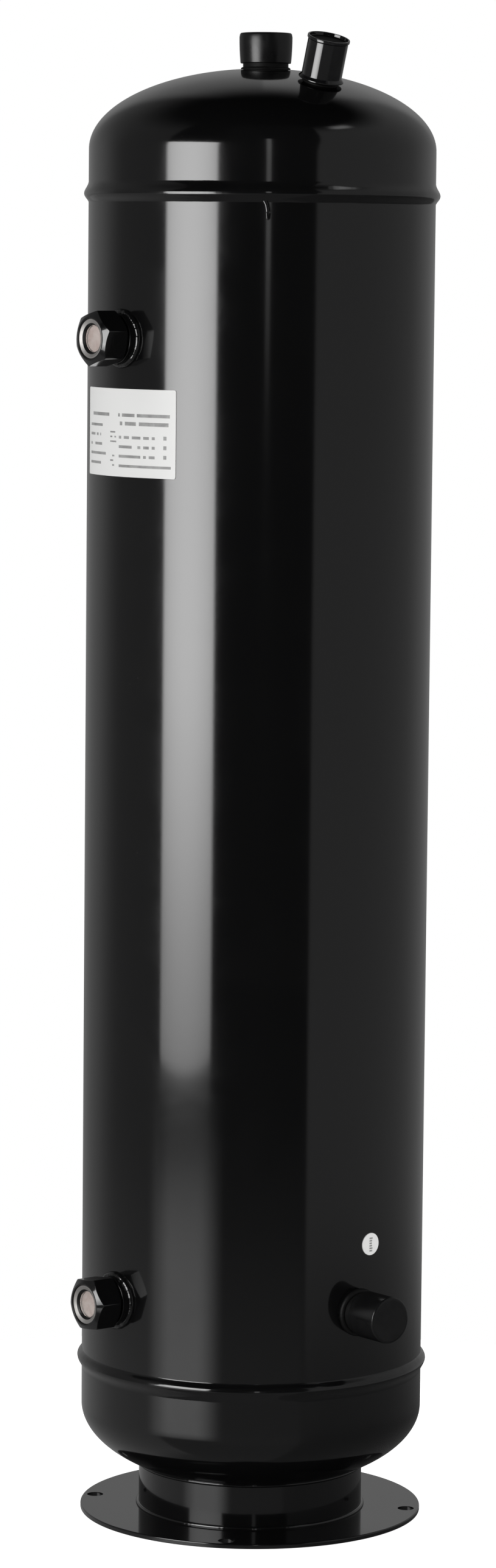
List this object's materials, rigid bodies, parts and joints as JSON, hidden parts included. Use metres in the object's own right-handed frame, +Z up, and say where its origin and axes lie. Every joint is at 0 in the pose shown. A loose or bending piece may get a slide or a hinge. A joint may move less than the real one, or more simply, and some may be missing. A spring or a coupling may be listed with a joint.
{
  "type": "receiver tank",
  "caption": "Upright black steel receiver tank with dished ends on a skirt and round base plate, with capped ports, hexagon-nut sight glasses, a label and a sticker.",
  "frame": {"origin": "the middle of the base plate's underside, on the vessel's axis", "axes": "+Z up along the vessel's axis, -Y towards the front, +X to the right seen from the front"},
  "size_m": [0.2273, 0.2319, 0.9456],
  "materials": {
    "black_paint": "gloss black enamel with slight orange peel",
    "black_rubber": "satin black rubber",
    "black_plastic": "glossy black moulded plastic",
    "bare_steel": "plain machined steel",
    "nickel": "satin nickel plate",
    "copper": "bright coppery sheet",
    "clear_glass": "clear polished glass",
    "seal_white": "off-white sealing plastic",
    "label_white": "white printed foil"
  },
  "bodies": {
    "vessel": {"shell_tube": "black_paint", "top_head": "black_paint", "bottom_head": "black_paint", "top_seam_weld": "black_paint", "bottom_seam_weld": "black_paint", "base_plate": "black_paint", "base_skirt": "black_paint", "skirt_foot_weld": "black_paint", "skirt_head_weld": "black_paint", "inlet_stub": "bare_steel", "inlet_weld": "black_paint", "relief_stub": "bare_steel", "relief_weld": "black_paint", "outlet_stub": "bare_steel", "outlet_weld": "black_paint", "pickup_tube": "bare_steel", "upper_glass_boss": "black_paint", "upper_glass_boss_weld": "black_paint", "lower_glass_boss": "black_paint", "lower_glass_boss_weld": "black_paint", "name_label": "label_white", "round_sticker": "label_white"},
    "inlet_cap": {"inlet_cap": "black_rubber"},
    "relief_cap": {"relief_cap": "black_plastic"},
    "outlet_cap": {"outlet_cap": "black_rubber"},
    "upper_window": {"upper_glass_ring": "nickel", "upper_glass_lens": "clear_glass", "upper_glass_disc": "copper", "upper_glass_seal": "seal_white"},
    "upper_nut": {"upper_glass_nut": "black_paint"},
    "lower_window": {"lower_glass_ring": "nickel", "lower_glass_lens": "clear_glass", "lower_glass_disc": "copper", "lower_glass_seal": "seal_white"},
    "lower_nut": {"lower_glass_nut": "black_paint"}
  },
  "joints": [
    {"name": "inlet_cap_pull", "type": "slide", "parent": "vessel", "child": "inlet_cap", "axis": [0, 0, 1], "range_m": [0, 0.03]},
    {"name": "relief_cap_pull", "type": "slide", "parent": "vessel", "child": "relief_cap", "axis": [0.1741, -0.2581, 0.9503], "range_m": [0, 0.035]},
    {"name": "outlet_cap_pull", "type": "slide", "parent": "vessel", "child": "outlet_cap", "axis": [0.6157, -0.788, 0], "range_m": [0, 0.035]},
    {"name": "upper_window_slide", "type": "slide", "parent": "vessel", "child": "upper_window", "axis": [-0.788, -0.6157, 0], "range_m": [0, 0.012]},
    {"name": "upper_nut_turn", "type": "hinge", "parent": "upper_window", "child": "upper_nut", "pos_m": [-0.0985, -0.07696, 0.75453], "axis": [-0.788, -0.6157, 0], "range_deg": [0, 2885]},
    {"name": "lower_window_slide", "type": "slide", "parent": "vessel", "child": "lower_window", "axis": [-0.788, -0.6157, 0], "range_m": [0, 0.012]},
    {"name": "lower_nut_turn", "type": "hinge", "parent": "lower_window", "child": "lower_nut", "pos_m": [-0.0985, -0.07696, 0.14902], "axis": [-0.788, -0.6157, 0], "range_deg": [0, 2885]}
  ],
  "couplings": [
    {"joint": "upper_nut_turn", "follows": "upper_window_slide", "rad_per_m": 4188.8},
    {"joint": "lower_nut_turn", "follows": "lower_window_slide", "rad_per_m": 4188.8}
  ]
}
